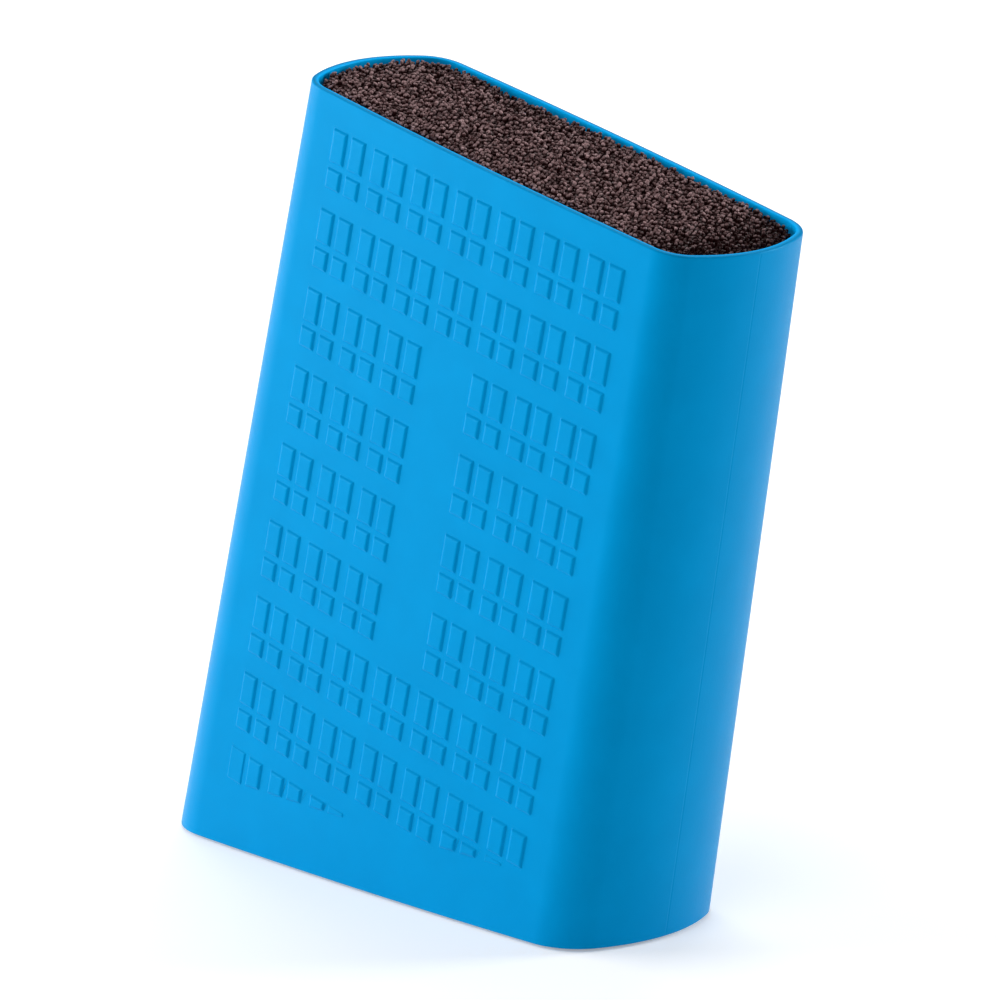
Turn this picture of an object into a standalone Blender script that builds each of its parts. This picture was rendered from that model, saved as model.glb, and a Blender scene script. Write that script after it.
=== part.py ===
"""Universal knife block: a leaning, flared sleeve round a lift-out insert of flexible rods.

Units are metres, +Z is up, the block leans towards +X and its front face looks along -Y.
The origin is the bottom centre of the block's own box, on the plane its feet stand on.

The sleeve has a frame of its own, called the sleeve frame here: u runs across the width, v
through the depth (the same way as world Y) and w up the sleeve's axis. Its origin is the
centre of the rim, so the rim is the plane w = 0 and everything else has a negative w.
"""

from math import cos, pi, radians, sin

import bmesh
import bpy
from mathutils import Matrix, Vector

# ---- driving dimensions -------------------------------------------------------------------
AXIS_LENGTH = 0.225          # rim centre to base centre, along the sleeve's axis
LEAN = radians(10.7)         # the axis, off vertical

RIM_HALF_WIDTH = 0.0820      # half sizes and corner radius of the sleeve's outside at the rim
RIM_HALF_DEPTH = 0.0298
RIM_CORNER = 0.0119
FLARE_WIDTH = 0.0082         # how much each of them grows over AXIS_LENGTH, going down
FLARE_DEPTH = 0.0049
FLARE_CORNER = 0.0065
FACE_ARC = radians(2.37)     # the slight bulge of the long faces, as half the arc's angle
END_ARC = radians(25.9)      # the rounder bulge of the two ends

SLEEVE_WALL = 0.0020
RIM_ROUND = 0.0006           # rounding of both edges of the rim
TOUCH_GAP = 0.0003           # left between any two pieces that meet

FOOT_PROUD = 0.0010          # feet below the sleeve's bottom edge
PLATE_RECESS = 0.0012        # base plate above that edge
PLATE_THICKNESS = 0.0024
RIB_THICKNESS = 0.0020
RIB_EMBED = 0.0010           # how far a rib's foot sinks into the plate
LONG_RIB_V = 0.0130          # the two outer long ribs; a third runs down the middle
CROSS_RIB_U = 0.0500
CROSS_RIB_DROP = 0.0005      # cross ribs stop short of the seat, the long ribs carry it
LOCATOR_RISE = 0.0080        # upstands that keep the insert centred

SLIDE_GAP = 0.0006           # insert to rim, each side
TRAY_WALL = 0.0016
TRAY_FLOOR = 0.0020
TRAY_HEIGHT = 0.0450         # over all; above it the rods spread to the sleeve's wall
SEAT = -0.2050               # w of the plane the insert stands on
ROOT_THICKNESS = 0.0040      # the plate that the rods are fused into
ROOT_STEP = 0.0003           # a bank's root is this much thinner on each side
BANK_OVERLAP = 0.0030        # how far a bank's root runs up into its upper part
TIP_DROP = 0.0008            # rod tips below the rim
BANK_COUNT = 6
BLADE_SLOT = 0.0046          # gap between two banks of rods

FOOT_RADIUS = 0.0070
FOOT_CHAMFER = 0.0008
FOOT_STEM = 0.0025
FOOT_BULB = 0.0034
FOOT_BULB_HEIGHT = 0.0013
FOOT_X = 0.0700              # from the base's centre
FOOT_Y = 0.0210

DRAIN_RADIUS = 0.0030
PLATE_DRAINS_X = (-0.0300, 0.0, 0.0300)
PLATE_DRAIN_Y = 0.0065
TRAY_DRAINS_U = (-0.0600, -0.0300, 0.0, 0.0300, 0.0600)
TRAY_DRAIN_V = 0.0120

END_STEPS = 5                # facets per quarter outline: end arc, corner arc, face arc
CORNER_STEPS = 8
FACE_STEPS = 6
TURN_STEPS = 24              # facets round the feet and the drain holes
CUT_OVERSHOOT = 0.0020       # how far a cutter runs past what it cuts

# ---- heights that follow ------------------------------------------------------------------
PLATE_BOTTOM = FOOT_PROUD + PLATE_RECESS
PLATE_TOP = PLATE_BOTTOM + PLATE_THICKNESS
TRAY_BOTTOM = SEAT + TOUCH_GAP
TRAY_TOP = TRAY_BOTTOM + TRAY_HEIGHT
ROOT_BOTTOM = TRAY_BOTTOM + TRAY_FLOOR + TOUCH_GAP
ROD_BOTTOM = ROOT_BOTTOM + ROOT_THICKNESS + TOUCH_GAP
INSERT_INSET = SLEEVE_WALL + SLIDE_GAP
ROOT_INSET = INSERT_INSET + TRAY_WALL + TOUCH_GAP


# ---- outlines -----------------------------------------------------------------------------
def arc_radii(half_width, half_depth, corner):
    """Radii of the face arc and the end arc that run smoothly into the corner arc."""
    a1, b1 = sin(FACE_ARC), 1 - cos(END_ARC)
    a2, b2 = 1 - cos(FACE_ARC), sin(END_ARC)
    c1 = half_width + corner * (sin(FACE_ARC) - cos(END_ARC))
    c2 = half_depth + corner * (sin(END_ARC) - cos(FACE_ARC))
    scale = a1 * b2 - a2 * b1
    return (c1 * b2 - c2 * b1) / scale, (a1 * c2 - a2 * c1) / scale


def outline(drop=0.0, inset=0.0):
    """The sleeve's section drop below the rim, moved inwards by inset: (u, v), anticlockwise."""
    share = drop / AXIS_LENGTH
    half_width = RIM_HALF_WIDTH + FLARE_WIDTH * share
    half_depth = RIM_HALF_DEPTH + FLARE_DEPTH * share
    corner = RIM_CORNER + FLARE_CORNER * share
    face, end = arc_radii(half_width, half_depth, corner)
    end_u = half_width - end
    corner_u = end_u + (end - corner) * cos(END_ARC)
    corner_v = (end - corner) * sin(END_ARC)
    face_v = half_depth - face
    arcs = (
        (end_u, 0.0, end - inset, 0.0, END_ARC, END_STEPS),
        (corner_u, corner_v, corner - inset, END_ARC, pi / 2 - FACE_ARC, CORNER_STEPS),
        (0.0, face_v, face - inset, pi / 2 - FACE_ARC, pi / 2, FACE_STEPS),
    )
    quarter = []
    for centre_u, centre_v, radius, start, stop, steps in arcs:
        for i in range(steps):
            angle = start + (stop - start) * i / steps
            quarter.append((centre_u + radius * cos(angle), centre_v + radius * sin(angle)))
    half = quarter + [(0.0, half_depth - inset)] + [(-u, v) for u, v in reversed(quarter)]
    return half + [(-u, -v) for u, v in half[1:-1]]


def ring(drop, inset):
    """One level ring of the sleeve frame."""
    return [Vector((u, v, -drop)) for u, v in outline(drop, inset)]


def ring_at_height(inset, height):
    """The ring that the flared surface leaves on a horizontal plane, height above the feet."""
    rim_height = FOOT_PROUD + AXIS_LENGTH * cos(LEAN)
    points = []
    for (u0, v0), (u1, v1) in zip(outline(0.0, inset), outline(AXIS_LENGTH, inset)):
        slope_u = (u1 - u0) / AXIS_LENGTH
        slope_v = (v1 - v0) / AXIS_LENGTH
        drop = (rim_height - height - u0 * sin(LEAN)) / (cos(LEAN) + slope_u * sin(LEAN))
        points.append(Vector((u0 + slope_u * drop, v0 + slope_v * drop, -drop)))
    return points


def clip_to_strip(points, low, high):
    """The part of a convex outline whose v lies between low and high."""
    for limit, side in ((low, 1.0), (high, -1.0)):
        kept = []
        for here, there in zip(points, points[1:] + points[:1]):
            inside_here = side * (here[1] - limit) >= 0
            inside_there = side * (there[1] - limit) >= 0
            if inside_here:
                kept.append(here)
            if inside_here != inside_there:
                share = (limit - here[1]) / (there[1] - here[1])
                kept.append((here[0] + share * (there[0] - here[0]), limit))
        points = kept
    return points


# ---- mesh helpers -------------------------------------------------------------------------
def new_object(name, mesh, material, parent=None):
    """A linked object with its material and parent."""
    thing = bpy.data.objects.new(name, mesh)
    bpy.context.collection.objects.link(thing)
    thing.parent = parent
    if material:
        mesh.materials.append(material)
    return thing


def skin(name, rings, closed=False):
    """A mesh over rings of equal length: capped at both ends, or closed into a tube wall."""
    shape = bmesh.new()
    rows = [[shape.verts.new(point) for point in points] for points in rings]
    pairs = list(zip(rows, rows[1:]))
    if closed:
        pairs.append((rows[-1], rows[0]))
    for lower, upper in pairs:
        for i in range(len(lower)):
            j = (i + 1) % len(lower)
            shape.faces.new((lower[i], lower[j], upper[j], upper[i]))
    if not closed:
        shape.faces.new(reversed(rows[0]))
        shape.faces.new(rows[-1])
    bmesh.ops.recalc_face_normals(shape, faces=shape.faces)
    mesh = bpy.data.meshes.new(name)
    shape.to_mesh(mesh)
    shape.free()
    return mesh


def prism(name, points, direction):
    """A flat outline of 3-D points swept along a direction."""
    return skin(name, [points, [point + direction for point in points]])


def turned(name, profile):
    """A closed body of revolution about Z from (radius, height) pairs, bottom to top."""
    rings = []
    for radius, height in profile:
        angles = [2 * pi * i / TURN_STEPS for i in range(TURN_STEPS)]
        rings.append([Vector((radius * cos(t), radius * sin(t), height)) for t in angles])
    return skin(name, rings)


def smooth(thing):
    """Round surfaces shade smooth, edges over 35 degrees stay sharp."""
    thing.data.shade_smooth()
    thing.data.set_sharp_from_angle(angle=radians(35))


def join_or_cut(target, tools, operation):
    """Boolean modifiers on the target; the tools are guides that aren't part of the model."""
    for tool in tools:
        step = target.modifiers.new(f"{operation.lower()}_{tool.name}", "BOOLEAN")
        step.operation = operation
        step.solver = "EXACT"
        step.object = tool
        tool.hide_render = True
        tool.display_type = "WIRE"


# ---- materials ----------------------------------------------------------------------------
def plastic(name, colour, roughness, coat=0.0):
    """A Principled material with no metal in it."""
    material = bpy.data.materials.new(name)
    material.use_nodes = True
    shader = material.node_tree.nodes["Principled BSDF"]
    shader.inputs["Base Color"].default_value = (*colour, 1.0)
    shader.inputs["Roughness"].default_value = roughness
    shader.inputs["Metallic"].default_value = 0.0
    shader.inputs["Coat Weight"].default_value = coat
    return material


# ---- pieces -------------------------------------------------------------------------------
def sleeve_rings():
    """Outside up, over the rounded rim and down the inside, in the sleeve frame."""
    half_round = RIM_ROUND * (1 - cos(pi / 4))
    return [
        ring_at_height(0.0, FOOT_PROUD),
        ring(RIM_ROUND, 0.0),
        ring(half_round, half_round),
        ring(0.0, RIM_ROUND),
        ring(0.0, SLEEVE_WALL - RIM_ROUND),
        ring(half_round, SLEEVE_WALL - half_round),
        ring(RIM_ROUND, SLEEVE_WALL),
        ring_at_height(SLEEVE_WALL, FOOT_PROUD),
    ]


def base_centre_x():
    """Where the base's centre lies when the whole block's box is centred on the origin."""
    sweep = Matrix.Rotation(LEAN, 4, "Y")
    rim_offset = AXIS_LENGTH * sin(LEAN)
    reach = [(sweep @ point).x + rim_offset for points in sleeve_rings() for point in points]
    return -(min(reach) + max(reach)) / 2


def make_sleeve(frame, material):
    """The outer shell, open at the rim and at the bottom."""
    sleeve = new_object("sleeve", skin("sleeve", sleeve_rings(), closed=True), material, frame)
    smooth(sleeve)


def plate_height_w(u, height):
    """The w at which a horizontal plane meets the sleeve frame's u."""
    rim_height = FOOT_PROUD + AXIS_LENGTH * cos(LEAN)
    return (height - rim_height + u * sin(LEAN)) / cos(LEAN)


def long_rib(v, half_length, locator):
    """A wedge-shaped rib along the width; the middle one has an upstand at each end."""
    bottom = PLATE_TOP - RIB_EMBED
    profile = [(-half_length, plate_height_w(-half_length, bottom)),
               (half_length, plate_height_w(half_length, bottom))]
    if locator:
        inner = RIM_HALF_WIDTH - INSERT_INSET + SLIDE_GAP
        profile += [(half_length, SEAT + LOCATOR_RISE), (inner, SEAT + LOCATOR_RISE),
                    (inner, SEAT), (-inner, SEAT),
                    (-inner, SEAT + LOCATOR_RISE), (-half_length, SEAT + LOCATOR_RISE)]
    else:
        profile += [(half_length, SEAT), (-half_length, SEAT)]
    start = v - RIB_THICKNESS / 2
    points = [Vector((u, start, w)) for u, w in profile]
    return prism("long_rib", points, Vector((0, RIB_THICKNESS, 0)))


def cross_rib(u, half_depth):
    """A rib across the depth, with an upstand on each side of the insert."""
    bottom = plate_height_w(u, PLATE_TOP - RIB_EMBED)
    seat = SEAT - CROSS_RIB_DROP
    inner = RIM_HALF_DEPTH - INSERT_INSET + SLIDE_GAP
    profile = [(-half_depth, bottom), (half_depth, bottom),
               (half_depth, SEAT + LOCATOR_RISE), (inner, SEAT + LOCATOR_RISE),
               (inner, seat), (-inner, seat),
               (-inner, SEAT + LOCATOR_RISE), (-half_depth, SEAT + LOCATOR_RISE)]
    points = [Vector((u - RIB_THICKNESS / 2, v, w)) for v, w in profile]
    return prism("cross_rib", points, Vector((RIB_THICKNESS, 0, 0)))


def make_base_plate(frame, base_x, material):
    """The plate that closes the bottom, with ribs that make a seat square to the lean."""
    inset = SLEEVE_WALL + TOUCH_GAP
    rings = [ring_at_height(inset, PLATE_BOTTOM), ring_at_height(inset, PLATE_TOP)]
    plate = new_object("base_plate", skin("base_plate", rings), material, frame)

    drop = -SEAT
    wall_u = RIM_HALF_WIDTH - SLEEVE_WALL + FLARE_WIDTH * drop / AXIS_LENGTH
    wall_v = RIM_HALF_DEPTH - SLEEVE_WALL + FLARE_DEPTH * drop / AXIS_LENGTH
    clear = 4 * TOUCH_GAP
    ribs = [long_rib(0.0, wall_u - clear, True)]
    ribs += [long_rib(v, RIM_HALF_WIDTH - INSERT_INSET - RIM_CORNER, False)
             for v in (-LONG_RIB_V, LONG_RIB_V)]
    ribs += [cross_rib(u, wall_v - clear) for u in (-CROSS_RIB_U, CROSS_RIB_U)]
    join_or_cut(plate, [new_object("guide_rib", rib, None, frame) for rib in ribs], "UNION")

    low, high = PLATE_BOTTOM - CUT_OVERSHOOT, PLATE_TOP + CUT_OVERSHOOT
    drain = turned("drain", [(DRAIN_RADIUS, low), (DRAIN_RADIUS, high)])
    stem = turned("stem_hole", [(FOOT_STEM + TOUCH_GAP, low), (FOOT_STEM + TOUCH_GAP, high)])
    cutters = [("guide_drain", drain, x, y)
               for x in PLATE_DRAINS_X for y in (-PLATE_DRAIN_Y, PLATE_DRAIN_Y)]
    cutters += [("guide_stem", stem, x, y)
                for x in (-FOOT_X, FOOT_X) for y in (-FOOT_Y, FOOT_Y)]
    tools = []
    for name, mesh, x, y in cutters:
        tool = new_object(name, mesh, None)
        tool.location = (base_x + x, y, 0.0)
        tools.append(tool)
    join_or_cut(plate, tools, "DIFFERENCE")


def make_feet(base_x, material):
    """Four push-in rubber feet: a pad, a stem through the plate and a bulb above it."""
    bulb = PLATE_TOP + TOUCH_GAP
    profile = [
        (FOOT_RADIUS - FOOT_CHAMFER, 0.0),
        (FOOT_RADIUS, FOOT_CHAMFER),
        (FOOT_RADIUS, PLATE_BOTTOM - TOUCH_GAP),
        (FOOT_STEM, PLATE_BOTTOM - TOUCH_GAP),
        (FOOT_STEM, bulb),
        (FOOT_BULB, bulb),
        (FOOT_BULB * 0.6, bulb + FOOT_BULB_HEIGHT),
    ]
    mesh = turned("foot", profile)
    for side_y, word_y in ((-1, "front"), (1, "back")):
        for side_x, word_x in ((-1, "left"), (1, "right")):
            foot = new_object(f"foot_{word_y}_{word_x}", mesh.copy(), material)
            foot.location = (base_x + side_x * FOOT_X, side_y * FOOT_Y, 0.0)
            smooth(foot)


def make_tray(frame, material):
    """The lift-out tray round the rods' roots: open top, drain holes in its floor."""
    outside = outline(0.0, INSERT_INSET)
    inside = outline(0.0, INSERT_INSET + TRAY_WALL)
    rings = [
        [Vector((u, v, TRAY_BOTTOM)) for u, v in outside],
        [Vector((u, v, TRAY_TOP)) for u, v in outside],
        [Vector((u, v, TRAY_TOP)) for u, v in inside],
        [Vector((u, v, TRAY_BOTTOM + TRAY_FLOOR)) for u, v in inside],
    ]
    tray = new_object("insert_tray", skin("insert_tray", rings), material, frame)
    low = TRAY_BOTTOM - CUT_OVERSHOOT
    high = TRAY_BOTTOM + TRAY_FLOOR + CUT_OVERSHOOT
    drain = turned("tray_drain", [(DRAIN_RADIUS, low), (DRAIN_RADIUS, high)])
    tools = []
    for u in TRAY_DRAINS_U:
        for v in (-TRAY_DRAIN_V, TRAY_DRAIN_V):
            tool = new_object("guide_tray_drain", drain, None, frame)
            tool.location = (u, v, 0.0)
            tools.append(tool)
    join_or_cut(tray, tools, "DIFFERENCE")


def make_root_plate(frame, material):
    """The plate at the bottom of the tray that holds the rods' fused roots."""
    points = [Vector((u, v, ROOT_BOTTOM)) for u, v in outline(0.0, ROOT_INSET)]
    mesh = prism("rod_root_plate", points, Vector((0, 0, ROOT_THICKNESS)))
    new_object("rod_root_plate", mesh, material, frame)


def make_rod_banks(frame, material):
    """The rods as solid banks, with an open slot where a blade goes between two of them.

    A bank is narrow inside the tray and spreads to the sleeve's wall above it. The first and
    the last bank run out to the long faces.
    """
    half_depth = RIM_HALF_DEPTH - ROOT_INSET
    pitch = (2 * half_depth + BLADE_SLOT) / BANK_COUNT
    for i in range(BANK_COUNT):
        low = -RIM_HALF_DEPTH if i == 0 else -half_depth + i * pitch
        high = RIM_HALF_DEPTH if i == BANK_COUNT - 1 else (i + 1) * pitch - half_depth - BLADE_SLOT
        wide = clip_to_strip(outline(0.0, INSERT_INSET), low, high)
        narrow = clip_to_strip(outline(0.0, ROOT_INSET), low + ROOT_STEP, high - ROOT_STEP)
        name = f"rod_bank_{i + 1}"
        foot = TRAY_TOP + TOUCH_GAP
        upper = prism(name, [Vector((u, v, foot)) for u, v in wide],
                      Vector((0, 0, -TIP_DROP - foot)))
        lower = prism("bank_root", [Vector((u, v, ROD_BOTTOM)) for u, v in narrow],
                      Vector((0, 0, foot + BANK_OVERLAP - ROD_BOTTOM)))
        bank = new_object(name, upper, material, frame)
        join_or_cut(bank, [new_object("guide_bank_root", lower, None, frame)], "UNION")


def main():
    for thing in list(bpy.data.objects):
        bpy.data.objects.remove(thing, do_unlink=True)

    azure = plastic("azure_soft_touch", (0.0, 0.30, 0.72), 0.42, coat=0.1)
    black = plastic("black_plastic", (0.025, 0.025, 0.027), 0.5)
    rods = plastic("dark_rods", (0.045, 0.036, 0.033), 0.45)
    rubber = plastic("grey_rubber", (0.05, 0.05, 0.05), 0.8)

    base_x = base_centre_x()
    rim_centre = (base_x + AXIS_LENGTH * sin(LEAN), 0.0, FOOT_PROUD + AXIS_LENGTH * cos(LEAN))
    sleeve_frame = new_object("sleeve_frame", None, None)
    insert_frame = new_object("insert_lift_axis", None, None)
    for frame in (sleeve_frame, insert_frame):
        frame.location = rim_centre
        frame.rotation_euler = (0.0, LEAN, 0.0)

    make_sleeve(sleeve_frame, azure)
    make_base_plate(sleeve_frame, base_x, black)
    make_feet(base_x, rubber)
    make_tray(insert_frame, black)
    make_root_plate(insert_frame, rods)
    make_rod_banks(insert_frame, rods)


main()
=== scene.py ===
import random
from math import atan2, cos, hypot, pi, radians, sin, sqrt

import bmesh
import bpy
from mathutils import Matrix, Vector


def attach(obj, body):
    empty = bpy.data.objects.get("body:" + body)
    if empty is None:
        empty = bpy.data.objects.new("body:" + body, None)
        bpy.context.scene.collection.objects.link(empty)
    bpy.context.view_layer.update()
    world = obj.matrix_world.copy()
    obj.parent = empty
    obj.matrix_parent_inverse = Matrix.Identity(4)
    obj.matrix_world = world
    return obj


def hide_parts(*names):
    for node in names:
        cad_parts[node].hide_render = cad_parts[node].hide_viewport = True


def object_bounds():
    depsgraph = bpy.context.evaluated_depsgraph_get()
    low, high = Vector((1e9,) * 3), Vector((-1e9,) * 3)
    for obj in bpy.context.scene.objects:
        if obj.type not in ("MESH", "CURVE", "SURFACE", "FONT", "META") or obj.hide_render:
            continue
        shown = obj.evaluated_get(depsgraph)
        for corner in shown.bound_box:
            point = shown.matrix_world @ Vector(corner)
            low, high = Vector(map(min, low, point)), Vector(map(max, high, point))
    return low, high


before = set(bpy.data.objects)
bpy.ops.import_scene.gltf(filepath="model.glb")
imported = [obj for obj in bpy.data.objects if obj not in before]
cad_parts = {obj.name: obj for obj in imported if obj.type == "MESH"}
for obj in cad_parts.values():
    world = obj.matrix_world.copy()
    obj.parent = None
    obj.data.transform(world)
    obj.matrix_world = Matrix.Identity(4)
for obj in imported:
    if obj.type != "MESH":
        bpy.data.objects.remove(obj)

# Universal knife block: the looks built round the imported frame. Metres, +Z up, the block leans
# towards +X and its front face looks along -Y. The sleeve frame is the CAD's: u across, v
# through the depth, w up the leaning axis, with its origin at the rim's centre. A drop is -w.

CAD_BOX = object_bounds()

# ---- the CAD's dimensions, repeated in metres ------------------------------------------------
AXIS_LENGTH = 0.225
LEAN = radians(10.7)
RIM_HALF_WIDTH = 0.0820
RIM_HALF_DEPTH = 0.0298
RIM_CORNER = 0.0119
FLARE_WIDTH = 0.0082
FLARE_DEPTH = 0.0049
FLARE_CORNER = 0.0065
FACE_ARC = radians(2.37)
END_ARC = radians(25.9)
SLEEVE_WALL = 0.0020
FOOT_PROUD = 0.0010
INSERT_INSET = 0.0026
ROOT_INSET = 0.0045
TRAY_TOP = -0.1597
ROD_BOTTOM = -0.1981
BANK_COUNT = 6

SWEEP = Matrix.Rotation(LEAN, 3, "Y")
RIM_HEIGHT = FOOT_PROUD + AXIS_LENGTH * cos(LEAN)

# ---- the shell's edges and the density of its mesh -------------------------------------------
OUTER_ROUND = 0.0006         # the rim's outer and inner edges
INNER_ROUND = 0.0004
FOOT_ROUND = 0.0003
RIM_STEPS, FOOT_STEPS = 4, 3
END_STEPS, CORNER_STEPS = 9, 18
# A shallow parting groove runs down the middle of both ends.
PARTING_DEPTH, PARTING_ANGLES = 0.00010, (0.005, 0.010)

# ---- relief on the long faces ----------------------------------------------------------------
TILE_HEIGHT = 0.00060
TILE_ROUND = 0.0006          # corners of a tile's foot, in plan
TILE_ROUND_STEPS = 3
TILE_WIDTH = 0.0064
PAIR_PITCH = 0.01739         # two columns make a pair
PAIR_STEP = 0.00781
FIRST_COLUMN = -0.05912      # rim-level left foot edge of the first column
COLUMN_COUNT = 14
FAN = 0.10                   # growth of u with drop, per metre
RELIEF_REACH = 0.0632        # half width of the band that holds the relief
ROW_PITCH = 0.02438
TALL_TOP, TALL_BOTTOM = 0.0089, 0.0193
SQUARE_TOP, SQUARE_BOTTOM = 0.0208, 0.0272
ROW_COUNT = 9                # the last row has no squares
LINES_PER_ROW = 3            # level lines of the mesh: over a tall tile, over and under its square
CELL_MARGIN = 0.0007
PLAIN_COLUMNS, PLAIN_ROWS = (6, 7), (2, 3, 4, 5)
ROW_STRETCH, ROW_SPREAD = 0.007, 0.080   # the rows drift apart slightly towards the right
CLIP_AT_CENTRE, CLIP_SLOPE = 0.2045, -0.19
SHORT_EDGE = 0.0006          # corners of a cut tile closer than this are one corner
FULL_ROOM = 0.0016           # a cut tile with less room inside gets a lower, tighter edge
LEAST_ROOM = 0.0004          # and with less than this it is left out
MOST_ROOM, ROOM_HALVINGS, ROOM_SLACK = 0.01, 24, 0.00001
LEAST_RADIUS = 0.00004
BOX_MARGIN = 0.00001         # the relief stays this far inside the CAD's box
# A tile's edge from its foot to its flat top: (inwards, share of the height).
TILE_PROFILE = ((0.0, 0.0), (0.00008, 0.03), (0.00018, 0.13), (0.00032, 0.33),
                (0.00048, 0.56), (0.00064, 0.75), (0.00084, 0.89), (0.00104, 0.97),
                (0.00124, 1.0))

# ---- rods ------------------------------------------------------------------------------------
ROD_RADIUS = 0.00058
ROD_PITCH = 0.00146
ROD_SIDES = 6
ROD_SEED = 4127
RADIUS_SPREAD = (0.92, 1.06)
PLACE_JITTER = 0.00012
TIP_SWAY = 0.00025           # how far a tip leans out of its place
TIP_ROOM = 0.0003            # how far a tip may come nearer to the wall than its rod
TIP_DROP = 0.00035           # how far the tips lie below the rim
RIGHT_DIP = 0.0009           # they lie deeper at the right end
BACK_LEFT_DIP = 0.0003       # and a little deeper along the back left
DROP_SPREAD = (-0.0003, 0.0009)
TIP_CHAMFER, TIP_SHARE = 0.00022, 0.72
TIP_SLANT = 0.5
SWAY_DROP = 0.012            # a rod sways above this drop
SPREAD_RISE = 0.014          # the rods spread out to the wall within this height over the tray
ROOT_DEPTH = 0.002           # and start to spread this deep in it
SHARP_EDGE = radians(50)
FULL_SHADE_DEPTH, SHADE_START_DEPTH = 0.0013, 0.0003     # painted shade: below the rim the rods fade from light to dark

# Marks on the vertices, which the materials read: where the azure paints light on the inner wall,
# and where the rods' tips take their lighter colour, partly a painted highlight.
PAINTED_LIGHT_WALL = "inner_wall_painted_light"
CUT_TIP = "cut_tip"

# ---- camera and light ------------------------------------------------------------------------
CAMERA_AZIMUTH, CAMERA_ELEVATION, CAMERA_ROLL = radians(44.815), radians(14.715), radians(-0.762)
CAMERA_TARGET, CAMERA_DISTANCE = Vector((0.00416, 0.00299, 0.11551)), 2.0276
FOCAL_LENGTH, SENSOR_WIDTH = 252.1, 36.0
NEAREST, FARTHEST = 0.05, 50.0
# Name, azimuth and elevation in degrees, width and height in metres, and watts.
SOFTBOXES = (("key", -57, 12, 2.4, 1.4, 112.0),
             ("rim", 148, 12, 1.0, 1.8, 72.0),
             ("top", 20, 48, 1.6, 1.2, 20.0),
             ("back", 222, 58, 2.0, 1.4, 34.0))
SOFTBOX_TARGET, SOFTBOX_DISTANCE = Vector((0, 0, 0.11)), 3.0
FLOOR_RADIUS, FLOOR_SIDES = 9.0, 96
FLOOR_GLOW = 0.30
WORLD_STRENGTH = 0.22
WHITE = (1.0, 1.0, 1.0, 1.0)


# ---- outlines --------------------------------------------------------------------------------
class Section:
    """The sleeve's level section at a drop: three tangent arcs per quarter."""

    def __init__(self, drop):
        share = drop / AXIS_LENGTH
        self.half_width = RIM_HALF_WIDTH + FLARE_WIDTH * share
        self.half_depth = RIM_HALF_DEPTH + FLARE_DEPTH * share
        self.corner = RIM_CORNER + FLARE_CORNER * share
        # The face arc and the end arc both touch the corner arc: two equations for two radii.
        face_u, end_u = sin(FACE_ARC), 1 - cos(END_ARC)
        face_v, end_v = 1 - cos(FACE_ARC), sin(END_ARC)
        across = self.half_width + self.corner * (sin(FACE_ARC) - cos(END_ARC))
        through = self.half_depth + self.corner * (sin(END_ARC) - cos(FACE_ARC))
        scale = face_u * end_v - face_v * end_u
        self.face = (across * end_v - through * end_u) / scale
        self.end = (face_u * through - face_v * across) / scale
        self.end_u = self.half_width - self.end
        self.corner_u = self.end_u + (self.end - self.corner) * cos(END_ARC)
        self.corner_v = (self.end - self.corner) * sin(END_ARC)
        self.face_v = self.half_depth - self.face

    def at_angle(self, angle, inset):
        """A point of the first quarter's end or corner, by the direction of its normal."""
        if angle <= END_ARC:
            centre_u, centre_v, radius = self.end_u, 0.0, self.end
        else:
            centre_u, centre_v, radius = self.corner_u, self.corner_v, self.corner
        return (centre_u + (radius - inset) * cos(angle),
                centre_v + (radius - inset) * sin(angle))

    def on_face(self, u, inset):
        """A point of the long face whose u is given on the outer surface."""
        rise = sqrt(self.face ** 2 - u ** 2)
        share = 1 - inset / self.face
        return u * share, self.face_v + rise * share


def angle_station(angle, side_u, side_v, groove=0.0):
    """A line down an end or corner as a function of (drop, inset); groove sinks its outside."""
    def point_at(drop, inset):
        sunk = groove if drop > 0.0 and inset == 0.0 else 0.0
        u, v = Section(drop).at_angle(angle, inset + sunk)
        return side_u * u, side_v * v
    return point_at


def face_station(u_rim, side_v):
    """A line down a long face as a function of (drop, inset)."""
    def point_at(drop, inset):
        u, v = Section(drop).on_face(u_rim * (1 + FAN * drop), inset)
        return u, side_v * v
    return point_at


def drop_at_height(point_at, inset, height):
    """The drop at which a station's line meets a level plane, height above the ground."""
    u0, u1 = point_at(0.0, inset)[0], point_at(AXIS_LENGTH, inset)[0]
    slope = (u1 - u0) / AXIS_LENGTH
    return (RIM_HEIGHT - height - u0 * sin(LEAN)) / (cos(LEAN) + slope * sin(LEAN))


def leaning(u, v, drop):
    """A sleeve-frame point turned by the lean, still measured from the rim's centre."""
    return SWEEP @ Vector((u, v, -drop))


def rim_centre_x():
    """The rim's right end and the foot's left end bound the block, and their middle is x = 0."""
    right, left = angle_station(0.0, 1, 1), angle_station(0.0, -1, 1)
    foot = drop_at_height(left, 0.0, FOOT_PROUD)
    rim_end = leaning(*right(OUTER_ROUND, 0.0), OUTER_ROUND)
    foot_end = leaning(*left(foot, 0.0), foot)
    return -(rim_end.x + foot_end.x) / 2


RIM_CENTRE = Vector((rim_centre_x(), 0.0, RIM_HEIGHT))


def place(u, v, drop):
    """A sleeve-frame point in the row frame."""
    return leaning(u, v, drop) + RIM_CENTRE


def quarter_turn(steps):
    """The angles of a quarter turn in equal steps."""
    return [pi / 2 * i / steps for i in range(steps + 1)]


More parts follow.
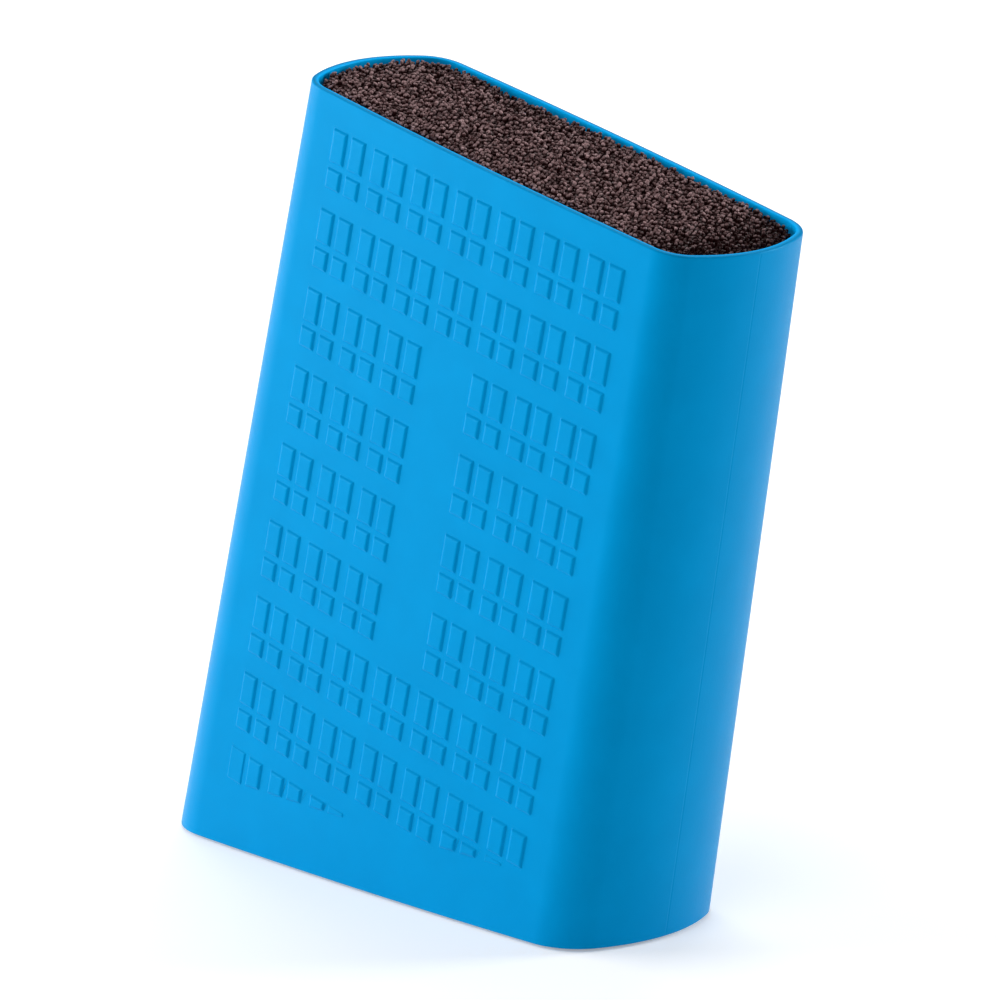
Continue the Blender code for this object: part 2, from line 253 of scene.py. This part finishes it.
# ---- materials -------------------------------------------------------------------------------
class Nodes:
    """A short way to write node trees. A noise runs from about 0.3 to 0.7."""

    def __init__(self, name):
        self.material = bpy.data.materials.new(name)
        self.material.use_nodes = True
        self.tree = self.material.node_tree
        self.shader = self.tree.nodes["Principled BSDF"]
        self.where = self.tree.nodes.new("ShaderNodeTexCoord").outputs["Object"]

    def join(self, source, target):
        self.tree.links.new(source, target)

    def attribute(self, name):
        node = self.tree.nodes.new("ShaderNodeAttribute")
        node.attribute_name = name
        return node.outputs["Fac"]

    def scaled(self, factors):
        node = self.tree.nodes.new("ShaderNodeMapping")
        node.inputs["Scale"].default_value = factors
        self.join(self.where, node.inputs["Vector"])
        return node.outputs["Vector"]

    def along(self, direction):
        node = self.tree.nodes.new("ShaderNodeVectorMath")
        node.operation = "DOT_PRODUCT"
        self.join(self.where, node.inputs[0])
        node.inputs[1].default_value = direction
        return node.outputs["Value"]

    def noise(self, scale, detail=2.0, roughness=0.5, vector=None):
        node = self.tree.nodes.new("ShaderNodeTexNoise")
        node.inputs["Scale"].default_value = scale
        node.inputs["Detail"].default_value = detail
        node.inputs["Roughness"].default_value = roughness
        self.join(vector or self.where, node.inputs["Vector"])
        return node.outputs["Fac"]

    def remap(self, source, low=0.0, high=1.0, from_low=0.3, from_high=0.7):
        node = self.tree.nodes.new("ShaderNodeMapRange")
        for key, value in (("From Min", from_low), ("From Max", from_high),
                           ("To Min", low), ("To Max", high)):
            node.inputs[key].default_value = value
        self.join(source, node.inputs["Value"])
        return node.outputs["Result"]

    def mix(self, factor, first, second):
        """Mixes two colours, each given as numbers or as a socket."""
        node = self.tree.nodes.new("ShaderNodeMix")
        node.data_type = "RGBA"
        self.join(factor, node.inputs["Factor"])
        colours = [socket for socket in node.inputs if socket.type == "RGBA"]
        for socket, value in zip(colours, (first, second)):
            if isinstance(value, tuple):
                socket.default_value = (*value, 1.0)
            else:
                self.join(value, socket)
        return next(socket for socket in node.outputs if socket.type == "RGBA")

    def bump(self, source, strength, distance, below=None):
        node = self.tree.nodes.new("ShaderNodeBump")
        node.inputs["Strength"].default_value = strength
        node.inputs["Distance"].default_value = distance
        self.join(source, node.inputs["Height"])
        if below:
            self.join(below, node.inputs["Normal"])
        return node.outputs["Normal"]

    def finish(self, colour, roughness, normal, specular=0.5):
        self.join(colour, self.shader.inputs["Base Color"])
        self.join(roughness, self.shader.inputs["Roughness"])
        self.join(normal, self.shader.inputs["Normal"])
        self.shader.inputs["Specular IOR Level"].default_value = specular
        return self.material


def azure_material():
    """Satin azure with a fine grain and faint streaks up the wall; the inner wall carries painted
    light, a much lighter azure.
    """
    nodes = Nodes("azure_soft_touch")
    mottle = nodes.noise(scale=70.0, detail=3.0)
    outside = nodes.mix(nodes.remap(mottle), (0.0, 0.226, 0.505), (0.0, 0.240, 0.532))
    # Painted light: the marked inner wall, and the rim top next to it, get a far lighter azure
    # than the outside.
    colour = nodes.mix(nodes.attribute(PAINTED_LIGHT_WALL), outside, (0.0, 0.45, 1.0))
    grain = nodes.noise(scale=1500.0, roughness=0.6)
    streak = nodes.noise(scale=1.0, vector=nodes.scaled((1700.0, 1700.0, 260.0)))
    normal = nodes.bump(grain, strength=0.30, distance=0.00004)
    normal = nodes.bump(streak, strength=0.20, distance=0.00004, below=normal)
    # A weak mirror: azure face on, and white only at a glancing angle.
    nodes.shader.inputs["IOR"].default_value = 1.12
    nodes.shader.inputs["Specular Tint"].default_value = (0.0, 2.4, 4.0, 1.0)
    return nodes.finish(colour, nodes.remap(grain, low=0.28, high=0.36), normal)


def rod_material():
    """Brown-black rods whose tips are lighter, partly their cut ends' own colour and partly
    painted highlight, with painted shade darkening them below the rim.
    """
    nodes = Nodes("dark_rods")
    patch = nodes.remap(nodes.noise(scale=650.0, roughness=0.6), from_low=0.38, from_high=0.62)
    # Partly painted highlight: the tips get a light taupe, partly the cut ends' own colour, far
    # lighter than the brown-black sides.
    tip = nodes.mix(patch, (0.085, 0.038, 0.038), (0.430, 0.275, 0.280))
    # The mark grows over the rod's top section, and only its very end counts as the tip.
    tip_share = nodes.remap(nodes.attribute(CUT_TIP), from_low=0.965, from_high=1.0)
    skin = nodes.mix(tip_share, (0.030, 0.004, 0.004), tip)
    up_axis = Vector((sin(LEAN), 0.0, cos(LEAN)))
    rim = RIM_CENTRE.dot(up_axis)
    # Painted shade: deeper below the rim the rods darken to near black.
    unshaded_share = nodes.remap(nodes.along(up_axis), from_low=rim - FULL_SHADE_DEPTH,
                              from_high=rim - SHADE_START_DEPTH)
    colour = nodes.mix(unshaded_share, (0.015, 0.001, 0.001), skin)
    grain = nodes.noise(scale=2600.0)
    normal = nodes.bump(grain, strength=0.2, distance=0.00005)
    return nodes.finish(colour, nodes.remap(grain, low=0.28, high=0.46), normal, specular=0.12)


def black_material():
    """Matt black plastic with a moulded grain."""
    nodes = Nodes("black_plastic")
    cloud = nodes.noise(scale=55.0, detail=3.0)
    colour = nodes.mix(nodes.remap(cloud), (0.018, 0.018, 0.019), (0.027, 0.027, 0.029))
    grain = nodes.noise(scale=1400.0, detail=3.0, roughness=0.6)
    normal = nodes.bump(grain, strength=0.25, distance=0.00006)
    return nodes.finish(colour, nodes.remap(grain, low=0.45, high=0.62), normal)


def rubber_material():
    """Matt grey rubber."""
    nodes = Nodes("grey_rubber")
    cloud = nodes.noise(scale=220.0, detail=4.0)
    colour = nodes.mix(nodes.remap(cloud), (0.036, 0.036, 0.036), (0.056, 0.056, 0.055))
    grain = nodes.noise(scale=2200.0, detail=3.0, roughness=0.6)
    normal = nodes.bump(grain, strength=0.3, distance=0.00006)
    return nodes.finish(colour, nodes.remap(grain, low=0.72, high=0.9), normal, specular=0.3)


def floor_material():
    """A pale studio floor that glows a little."""
    nodes = Nodes("studio_floor")
    cloud = nodes.noise(scale=3.0)
    colour = nodes.mix(nodes.remap(cloud), (0.86, 0.86, 0.86), (0.88, 0.88, 0.88))
    normal = nodes.bump(cloud, strength=0.02, distance=0.001)
    nodes.shader.inputs["Emission Color"].default_value = WHITE
    nodes.shader.inputs["Emission Strength"].default_value = FLOOR_GLOW
    return nodes.finish(colour, nodes.remap(cloud, low=0.85, high=0.9), normal, specular=0.1)


# ---- tiles -----------------------------------------------------------------------------------
def column_left(column):
    """The rim-level u of a column's left foot edge."""
    return FIRST_COLUMN + (column // 2) * PAIR_PITCH + (column % 2) * PAIR_STEP


def row_drop(drop, u):
    """The drop of a row line at u: the rows open slightly towards the right."""
    u = max(-RELIEF_REACH, min(RELIEF_REACH, u))
    return drop * (1 + ROW_STRETCH + ROW_SPREAD * u)


def clip_drop(u):
    """The relief ends at this drop, on a line level with the base."""
    return CLIP_AT_CENTRE + CLIP_SLOPE * u


def tile_polygon(left, right, top, bottom):
    """A tile's foot as (u, drop), cut where the relief ends; None when too little is left."""
    box = [(left, row_drop(top, left)), (left, row_drop(bottom, left)),
           (right, row_drop(bottom, right)), (right, row_drop(top, right))]
    kept = []
    for here, there in zip(box, box[1:] + box[:1]):
        room_here, room_there = (clip_drop(u) - drop for u, drop in (here, there))
        if room_here >= 0:
            kept.append(here)
        if (room_here >= 0) != (room_there >= 0):
            share = room_here / (room_here - room_there)
            kept.append((here[0] + share * (there[0] - here[0]),
                         here[1] + share * (there[1] - here[1])))
    area = sum(a[0] * b[1] - b[0] * a[1] for a, b in zip(kept, kept[1:] + kept[:1]))
    if area < 0:
        kept.reverse()
    merged = []
    for point in kept:
        if not any(hypot(point[0] - p[0], point[1] - p[1]) < SHORT_EDGE for p in merged):
            merged.append(point)
    return merged if len(merged) > 2 and room_inside(merged) > LEAST_ROOM else None


def tile_in_cell(column, line):
    """The outline of the tile in a cell of the grid, or None where the wall stays plain."""
    row, part = divmod(line, LINES_PER_ROW)
    in_grid = 0 <= column < COLUMN_COUNT and 0 <= line < LINES_PER_ROW * ROW_COUNT - 2
    between_rows = part == LINES_PER_ROW - 1
    if not in_grid or between_rows or (column in PLAIN_COLUMNS and row in PLAIN_ROWS):
        return None
    top, bottom = (SQUARE_TOP, SQUARE_BOTTOM) if part else (TALL_TOP, TALL_BOTTOM)
    top += row * ROW_PITCH
    bottom += row * ROW_PITCH
    left = column_left(column) * (1 + FAN * (top + bottom) / 2)
    return tile_polygon(left, left + TILE_WIDTH, top, bottom)


def rounded(points, inset, radius, steps):
    """A counter-clockwise convex outline moved inwards, each corner an arc in steps."""
    ring = []
    radius = max(radius - inset, LEAST_RADIUS)
    for before, here, after in zip(points[-1:] + points[:-1], points, points[1:] + points[:1]):
        along_in = Vector((here[0] - before[0], here[1] - before[1])).normalized()
        along_out = Vector((after[0] - here[0], after[1] - here[1])).normalized()
        normal_in, normal_out = (Vector((along.y, -along.x)) for along in (along_in, along_out))
        bisector = (normal_in + normal_out) / (1 + normal_in.dot(normal_out))
        centre = Vector(here) - bisector * (inset + radius)
        start, stop = atan2(normal_in.y, normal_in.x), atan2(normal_out.y, normal_out.x)
        if stop < start:
            stop += 2 * pi
        for i in range(steps + 1):
            angle = start + (stop - start) * i / max(steps, 1)
            ring.append((centre.x + radius * cos(angle), centre.y + radius * sin(angle)))
    return ring


def room_inside(points):
    """How far a counter-clockwise convex outline can be moved inwards, found by halving."""
    sides = []
    for here, there in zip(points, points[1:] + points[:1]):
        along = Vector((there[0] - here[0], there[1] - here[1])).normalized()
        sides.append((Vector(here), Vector((-along.y, along.x))))
    low, high = 0.0, MOST_ROOM
    for _ in range(ROOM_HALVINGS):
        middle = (low + high) / 2
        moved = rounded(points, middle, 0.0, 0)
        fits = all((Vector(p) - origin).dot(normal) > middle - ROOM_SLACK
                   for p in moved for origin, normal in sides)
        low, high = (middle, high) if fits else (low, middle)
    return low


def zip_rings(shape, outer, inner, middle):
    """Triangles between two rings round a middle; each ring is a list of (point, vertex)."""
    def by_angle(ring):
        turned = [(atan2(point[1] - middle[1], point[0] - middle[0]), vertex)
                  for point, vertex in ring]
        return sorted(turned, key=lambda pair: pair[0])

    def next_angle(ring, i):
        return ring[(i + 1) % len(ring)][0] + (2 * pi if i + 1 >= len(ring) else 0)

    outer, inner = by_angle(outer), by_angle(inner)
    i, j = 0, 0
    while i < len(outer) or j < len(inner):
        here_outer, here_inner = outer[i % len(outer)][1], inner[j % len(inner)][1]
        outer_is_next = i < len(outer) and next_angle(outer, i) < next_angle(inner, j)
        if outer_is_next or j >= len(inner):
            shape.faces.new((here_outer, outer[(i + 1) % len(outer)][1], here_inner))
            i += 1
        else:
            shape.faces.new((here_outer, inner[(j + 1) % len(inner)][1], here_inner))
            j += 1


def add_tile(shape, corners, polygon, side):
    """Fills one cell of the grid with a raised tile on plain ground."""
    rings = []
    size = min(1.0, room_inside(polygon) / FULL_ROOM)
    most_depth = CAD_BOX[1].y - BOX_MARGIN
    for inset, share in TILE_PROFILE:
        ring = []
        for u, drop in rounded(polygon, inset * size, TILE_ROUND * size, TILE_ROUND_STEPS):
            raised_u, v = Section(drop).on_face(u, -TILE_HEIGHT * size * share)
            point = place(raised_u, side * min(v, most_depth), drop)
            ring.append(((u, drop), shape.verts.new(point)))
        rings.append(ring)
    count = len(rings[0])
    middle = [sum(point[axis] for point, _ in rings[0]) / count for axis in (0, 1)]
    zip_rings(shape, corners, rings[0], middle)
    for lower, upper in zip(rings, rings[1:]):
        for k in range(count):
            after = (k + 1) % count
            shape.faces.new((lower[k][1], lower[after][1], upper[after][1], upper[k][1]))
    shape.faces.new([vertex for _, vertex in rings[-1]])


# ---- sleeve ----------------------------------------------------------------------------------
def grid_edges():
    """The rim-level u of the grid's upright lines, halfway between neighbouring columns."""
    edges = [column_left(0) - CELL_MARGIN]
    for column in range(1, COLUMN_COUNT):
        edges.append((column_left(column - 1) + TILE_WIDTH + column_left(column)) / 2)
    return edges + [column_left(COLUMN_COUNT - 1) + TILE_WIDTH + CELL_MARGIN]


def grid_drops():
    """The drops of the grid's level lines."""
    drops = []
    for row in range(ROW_COUNT):
        base = row * ROW_PITCH
        drops += [base + TALL_TOP - CELL_MARGIN, base + (TALL_BOTTOM + SQUARE_TOP) / 2,
                  base + SQUARE_BOTTOM + CELL_MARGIN]
    return drops[:-1]


def rim_lines():
    """The rim from the inner wall over its top to the outside, as (drop, inset)."""
    inner = [(INNER_ROUND * (1 - sin(angle)), SLEEVE_WALL - INNER_ROUND * (1 - cos(angle)))
             for angle in quarter_turn(RIM_STEPS)]
    outer = [(OUTER_ROUND * (1 - cos(angle)), OUTER_ROUND * (1 - sin(angle)))
             for angle in quarter_turn(RIM_STEPS)]
    return inner + outer


def foot_lines():
    """The foot from the outside to the inner wall, as (inset, height above the foot)."""
    outer = [(FOOT_ROUND * (1 - cos(angle)), FOOT_ROUND * (1 - sin(angle)))
             for angle in quarter_turn(FOOT_STEPS)]
    return outer + [(SLEEVE_WALL - FOOT_ROUND, 0.0), (SLEEVE_WALL, FOOT_ROUND)]


def shell_stations():
    """The upright lines round the shell from its right end, each as (point_at, side, number);
    side and number are None away from the long faces."""
    quarter = [0.0, *PARTING_ANGLES]
    quarter += [END_ARC * i / END_STEPS for i in range(1, END_STEPS)]
    quarter += [END_ARC + (pi / 2 - FACE_ARC - END_ARC) * i / CORNER_STEPS
                for i in range(CORNER_STEPS + 1)]
    across = list(enumerate([-RELIEF_REACH] + grid_edges() + [RELIEF_REACH]))

    def turn(angles, side_u, side_v):
        grooves = [PARTING_DEPTH if angle == 0.0 else 0.0 for angle in angles]
        return [(angle_station(angle, side_u, side_v, groove), None, None)
                for angle, groove in zip(angles, grooves)]

    def face(lines, side):
        return [(face_station(u, side), side, number) for number, u in lines]

    return (turn(quarter, 1, 1) + face(across[::-1], 1) + turn(quarter[::-1], -1, 1)
            + turn(quarter[1:], -1, -1) + face(across, -1) + turn(quarter[:0:-1], 1, -1))


def shell_line(point_at):
    """One upright line from the inner rim to the inner foot, as (point, (u, drop)); the second
    is None off the grid."""
    line = [(place(*point_at(drop, inset), drop), None) for drop, inset in rim_lines()]
    middle_u = point_at(AXIS_LENGTH / 2, 0.0)[0]
    drops = [row_drop(drop, middle_u) for drop in grid_drops()]
    foot_drop = drop_at_height(point_at, 0.0, FOOT_PROUD + FOOT_ROUND)
    drops[-1] = min(drops[-1], (drops[-2] + foot_drop) / 2)
    for drop in drops:
        u, v = point_at(drop, 0.0)
        line.append((place(u, v, drop), (u, drop)))
    for inset, height in foot_lines():
        drop = drop_at_height(point_at, inset, FOOT_PROUD + height)
        line.append((place(*point_at(drop, inset), drop), None))
    return line


def sleeve_mesh():
    """The shell as one closed mesh, with its rounded rim and the tiles on both long faces."""
    shape = bmesh.new()
    inner_wall_painted_light = shape.verts.layers.float.new(PAINTED_LIGHT_WALL)
    stations = shell_stations()
    lines = []
    for point_at, _, _ in stations:
        line = [(flat, shape.verts.new(point)) for point, flat in shell_line(point_at)]
        # Marks the inner rim edge and the inner wall for the painted light.
        for _, vertex in (*line[:RIM_STEPS + 1], line[-1]):
            vertex[inner_wall_painted_light] = 1.0
        lines.append(line)

    first_grid_line = len(rim_lines())
    for i, (_, side, number) in enumerate(stations):
        j = (i + 1) % len(stations)
        _, next_side, next_number = stations[j]
        column = min(number, next_number) - 1 if side and side == next_side else -1
        for k in range(len(lines[i])):
            below = (k + 1) % len(lines[i])
            corners = [lines[i][k], lines[j][k], lines[j][below], lines[i][below]]
            polygon = tile_in_cell(column, k - first_grid_line)
            if polygon:
                add_tile(shape, corners, polygon, side)
            else:
                shape.faces.new([vertex for _, vertex in corners])
    bmesh.ops.recalc_face_normals(shape, faces=shape.faces)
    for face in shape.faces:
        face.smooth = True
    mesh = bpy.data.meshes.new("sleeve_shell")
    shape.to_mesh(mesh)
    shape.free()
    return mesh


# ---- rods ------------------------------------------------------------------------------------
def inside(section, u, v, inset):
    """True if a point is inside the section moved inwards by inset."""
    u, v = abs(u), abs(v)
    if v > section.half_depth - inset or u > section.half_width - inset:
        return False
    if u > section.corner_u and v > section.corner_v:
        angle = atan2(v - section.corner_v, u - section.corner_u)
        if END_ARC <= angle <= pi / 2 - FACE_ARC:
            return hypot(u - section.corner_u, v - section.corner_v) <= section.corner - inset
    if hypot(u - section.end_u, v) > section.end - inset and atan2(v, u - section.end_u) < END_ARC:
        return False
    return hypot(u, v - section.face_v) <= section.face - inset


def smooth_step(value, low, high):
    """0 up to low, 1 from high, and a smooth slope between them."""
    share = max(0.0, min(1.0, (value - low) / (high - low)))
    return share * share * (3 - 2 * share)


def tip_level(u, v):
    """The rods' drop below the rim, before each rod's own share."""
    right = smooth_step(u, low=0.050, high=0.078)
    back_left = smooth_step(v, low=0.008, high=0.024) * smooth_step(-u, low=-0.010, high=0.030)
    return TIP_DROP + RIGHT_DIP * right + BACK_LEFT_DIP * back_left


class Bank:
    """The single rods that stand for one of the CAD's banks."""

    def __init__(self):
        self.points, self.faces, self.tips = [], [], []

    def add_rod(self, levels, turn, tilt_u, tilt_v):
        """A rod through levels of (u, v, drop, radius, tip); tip is 1 at its slanted tip."""
        first = len(self.points)
        for centre_u, centre_v, drop, radius, tip in levels:
            for k in range(ROD_SIDES):
                angle = turn + 2 * pi * k / ROD_SIDES
                du, dv = radius * cos(angle), radius * sin(angle)
                lift = tip * (du * tilt_u + dv * tilt_v)
                self.points.append(place(centre_u + du, centre_v + dv, drop - lift))
                self.tips.append(tip)
        last = len(self.points) - ROD_SIDES
        for ring in range(first, last, ROD_SIDES):
            for k in range(ROD_SIDES):
                here, after = ring + k, ring + (k + 1) % ROD_SIDES
                self.faces.append((here, after, after + ROD_SIDES, here + ROD_SIDES))
        self.faces.append(list(range(first, first + ROD_SIDES))[::-1])
        self.faces.append(list(range(last, last + ROD_SIDES)))

    def mesh(self, name):
        mesh = bpy.data.meshes.new(name)
        mesh.from_pydata(self.points, [], self.faces)
        mesh.update()
        mesh.attributes.new(CUT_TIP, "FLOAT", "POINT").data.foreach_set("value", self.tips)
        mesh.shade_smooth()
        mesh.set_sharp_from_angle(angle=SHARP_EDGE)
        return mesh


def rod_banks():
    """Every rod on its own, from the root plate to the rim, sorted into the CAD's banks."""
    draw = random.Random(ROD_SEED)
    rim = Section(0.0)
    squeeze_u = (rim.half_width - ROOT_INSET) / (rim.half_width - INSERT_INSET)
    squeeze_v = (rim.half_depth - ROOT_INSET) / (rim.half_depth - INSERT_INSET)
    inset = INSERT_INSET + ROD_RADIUS
    banks = [Bank() for _ in range(BANK_COUNT)]
    bank_depth = 2 * (RIM_HALF_DEPTH - INSERT_INSET) / BANK_COUNT
    row_step = ROD_PITCH * sqrt(3) / 2
    rows = int(2 * RIM_HALF_DEPTH / row_step) + 2
    across = int(2 * RIM_HALF_WIDTH / ROD_PITCH) + 2
    for row in range(-rows // 2, rows // 2 + 1):
        for step in range(-across // 2, across // 2 + 1):
            u = (step + 0.5 * (row % 2)) * ROD_PITCH + draw.uniform(-PLACE_JITTER, PLACE_JITTER)
            v = row * row_step + draw.uniform(-PLACE_JITTER, PLACE_JITTER)
            tip_u = u + draw.uniform(-TIP_SWAY, TIP_SWAY)
            tip_v = v + draw.uniform(-TIP_SWAY, TIP_SWAY)
            tip_drop = tip_level(u, v) + draw.uniform(*DROP_SPREAD)
            radius = ROD_RADIUS * draw.uniform(*RADIUS_SPREAD)
            turn = draw.uniform(0, 2 * pi)
            tilt_u = draw.uniform(-TIP_SLANT, TIP_SLANT)
            tilt_v = draw.uniform(-TIP_SLANT, TIP_SLANT)
            if not (inside(rim, u, v, inset) and inside(rim, tip_u, tip_v, inset - TIP_ROOM)):
                continue
            root_u, root_v = u * squeeze_u, v * squeeze_v
            levels = [(root_u, root_v, -ROD_BOTTOM, radius, 0.0),
                      (root_u, root_v, -TRAY_TOP + ROOT_DEPTH, radius, 0.0),
                      (u, v, -TRAY_TOP - SPREAD_RISE, radius, 0.0),
                      (u, v, SWAY_DROP, radius, 0.0),
                      (tip_u, tip_v, tip_drop + TIP_CHAMFER, radius, 1.0),
                      (tip_u, tip_v, tip_drop, radius * TIP_SHARE, 1.0)]
            number = int((v + RIM_HALF_DEPTH - INSERT_INSET) / bank_depth)
            banks[max(0, min(BANK_COUNT - 1, number))].add_rod(levels, turn, tilt_u, tilt_v)
    return [bank.mesh(f"rods_{number}") for number, bank in enumerate(banks, 1)]


# ---- camera, light and floor -----------------------------------------------------------------
def outwards(azimuth, elevation):
    """A direction from the block; azimuth 0 is -Y and 90 degrees is +X."""
    return Vector((sin(azimuth) * cos(elevation), -cos(azimuth) * cos(elevation), sin(elevation)))


def add_camera():
    """The camera, rolled a little about its view."""
    back = outwards(CAMERA_AZIMUTH, CAMERA_ELEVATION)
    level_right = (-back).cross(Vector((0, 0, 1))).normalized()
    level_up = level_right.cross(-back)
    up = level_up * cos(CAMERA_ROLL) + level_right * sin(CAMERA_ROLL)
    right = (-back).cross(up)
    data = bpy.data.cameras.new("camera")
    data.lens, data.sensor_width = FOCAL_LENGTH, SENSOR_WIDTH
    data.clip_start, data.clip_end = NEAREST, FARTHEST
    camera = bpy.data.objects.new("camera", data)
    turned = Matrix((right, up, back)).transposed().to_4x4()
    camera.matrix_world = Matrix.Translation(CAMERA_TARGET + back * CAMERA_DISTANCE) @ turned
    bpy.context.scene.collection.objects.link(camera)
    bpy.context.scene.camera = camera


def add_softbox(name, azimuth, elevation, width, height, watts):
    """A rectangular light that looks at the block."""
    back = outwards(radians(azimuth), radians(elevation))
    data = bpy.data.lights.new(name, "AREA")
    data.shape, data.size, data.size_y = "RECTANGLE", width, height
    data.energy = watts
    light = bpy.data.objects.new(name, data)
    light.location = SOFTBOX_TARGET + back * SOFTBOX_DISTANCE
    light.rotation_mode = "QUATERNION"
    light.rotation_quaternion = (-back).to_track_quat("-Z", "Y")
    bpy.context.scene.collection.objects.link(light)


def add_studio():
    """The floor, the softboxes and a pale world."""
    shape = bmesh.new()
    bmesh.ops.create_circle(shape, cap_ends=True, segments=FLOOR_SIDES, radius=FLOOR_RADIUS)
    mesh = bpy.data.meshes.new("studio_floor")
    shape.to_mesh(mesh)
    shape.free()
    mesh.materials.append(floor_material())
    floor = bpy.data.objects.new("studio_floor", mesh)
    bpy.context.scene.collection.objects.link(floor)

    world = bpy.data.worlds.new("studio")
    world.use_nodes = True
    background = world.node_tree.nodes["Background"]
    background.inputs["Color"].default_value = WHITE
    background.inputs["Strength"].default_value = WORLD_STRENGTH
    bpy.context.scene.world = world
    for softbox in SOFTBOXES:
        add_softbox(*softbox)
    bpy.context.scene.view_settings.view_transform = "Standard"


# ---- the block -------------------------------------------------------------------------------
def add_piece(name, mesh, material, body, node):
    """A piece that rides on a body and stands for a CAD node."""
    piece = bpy.data.objects.new(name, mesh)
    bpy.context.scene.collection.objects.link(piece)
    mesh.materials.append(material)
    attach(piece, body)
    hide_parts(node)
    return piece


azure, rods, black, rubber = azure_material(), rod_material(), black_material(), rubber_material()

sleeve = add_piece("sleeve_shell", sleeve_mesh(), azure, "block", "sleeve")
weighted = sleeve.modifiers.new("weighted_normals", "WEIGHTED_NORMAL")
weighted.mode = "FACE_AREA"
weighted.weight = 60

for number, mesh in enumerate(rod_banks(), 1):
    add_piece(f"rods_{number}", mesh, rods, "insert", f"rod_bank_{number}")

for node, material in (("base_plate", black), ("insert_tray", black), ("rod_root_plate", rods),
                       ("foot_front_left", rubber), ("foot_front_right", rubber),
                       ("foot_back_left", rubber), ("foot_back_right", rubber)):
    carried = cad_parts[node]
    if not carried.material_slots:
        carried.data.materials.append(material)
    for material_slot in carried.material_slots:
        material_slot.material = material

add_camera()
add_studio()
